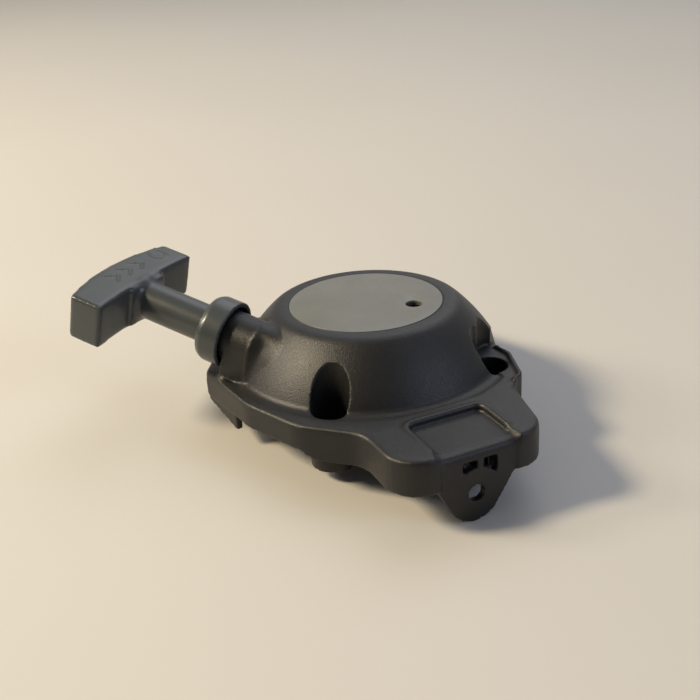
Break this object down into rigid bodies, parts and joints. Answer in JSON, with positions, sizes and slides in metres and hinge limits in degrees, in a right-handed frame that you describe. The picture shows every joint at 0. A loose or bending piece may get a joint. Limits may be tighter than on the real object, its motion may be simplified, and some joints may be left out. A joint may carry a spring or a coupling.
{
  "type": "recoil starter",
  "caption": "Pull-cord recoil starter with a domed moulded housing, a hanging front bracket, a spring-wound rope pulley with throw-out pawls and a T-bar pull handle.",
  "frame": {"origin": "centre of the four-screw pattern on the crank axis, on the plane of the screw bosses' feet", "axes": "+Z along the crank axis from the engine towards the dome's top, +X out to the hanging front bracket"},
  "size_m": [0.169, 0.1738, 0.0694],
  "materials": {
    "black_nylon": "fine-grained moulded nylon",
    "grey_plate": "smooth semi-matt",
    "white_acetal": "smooth",
    "zinc_steel": "zinc-plated",
    "spring_steel": "blued strip",
    "natural_nylon": "satin",
    "sintered_bronze": "porous sintered",
    "black_rope": "braided",
    "black_handle": "satin moulded nylon",
    "hardened_steel": "case-hardened",
    "spring_wire": "bright drawn wire",
    "black_screw": "black oxide"
  },
  "bodies": {
    "housing-body": {"housing": "black_nylon", "badge_plate": "grey_plate", "rope_bushing": "white_acetal", "spring_case": "zinc_steel", "recoil_spring": "spring_steel", "centre_washer": "zinc_steel", "centre_screw": "black_screw"},
    "handle-body": {"pull_handle": "black_handle", "handle_plug": "black_handle", "handle_knot": "black_rope", "knot_washer": "zinc_steel", "rope_lead": "black_rope"},
    "pulley-body": {"pulley": "natural_nylon", "pulley_bush": "sintered_bronze", "rope_coil": "black_rope", "pulley_knot": "black_rope", "pawl_pin_a": "zinc_steel", "pawl_pin_b": "zinc_steel", "pawl_spring_a": "spring_wire", "pawl_spring_b": "spring_wire", "friction_spring": "spring_wire"},
    "plate-body": {"friction_plate": "zinc_steel"},
    "pawl-a-body": {"pawl_a": "hardened_steel"},
    "pawl-b-body": {"pawl_b": "hardened_steel"}
  },
  "joints": [
    {"name": "handle_pull", "type": "slide", "parent": "housing-body", "child": "handle-body", "axis": [-0.7514, -0.6084, 0.2554], "range_m": [0, 0.7], "stiffness_N_per_m": 17, "springref_m": -0.47},
    {"name": "pulley_spin", "type": "hinge", "parent": "housing-body", "child": "pulley-body", "pos_m": [0, 0, 0.026], "axis": [0, 0, -1], "range_deg": [0, 1216]},
    {"name": "plate_lag", "type": "hinge", "parent": "pulley-body", "child": "plate-body", "pos_m": [0, 0, 0.013], "axis": [0, 0, 1], "range_deg": [0, 28]},
    {"name": "pawl_a_swing", "type": "hinge", "parent": "pulley-body", "child": "pawl-a-body", "pos_m": [0, 0.015, 0.017], "axis": [0, 0, 1], "range_deg": [0, 30.1]},
    {"name": "pawl_b_swing", "type": "hinge", "parent": "pulley-body", "child": "pawl-b-body", "pos_m": [0, -0.015, 0.017], "axis": [0, 0, 1], "range_deg": [0, 30.1]}
  ],
  "couplings": [
    {"joint": "pulley_spin", "follows": "handle_pull", "rad_per_m": 30.303},
    {"joint": "pawl_a_swing", "follows": "plate_lag", "ratio": 1.0714},
    {"joint": "pawl_b_swing", "follows": "plate_lag", "ratio": 1.0714}
  ]
}
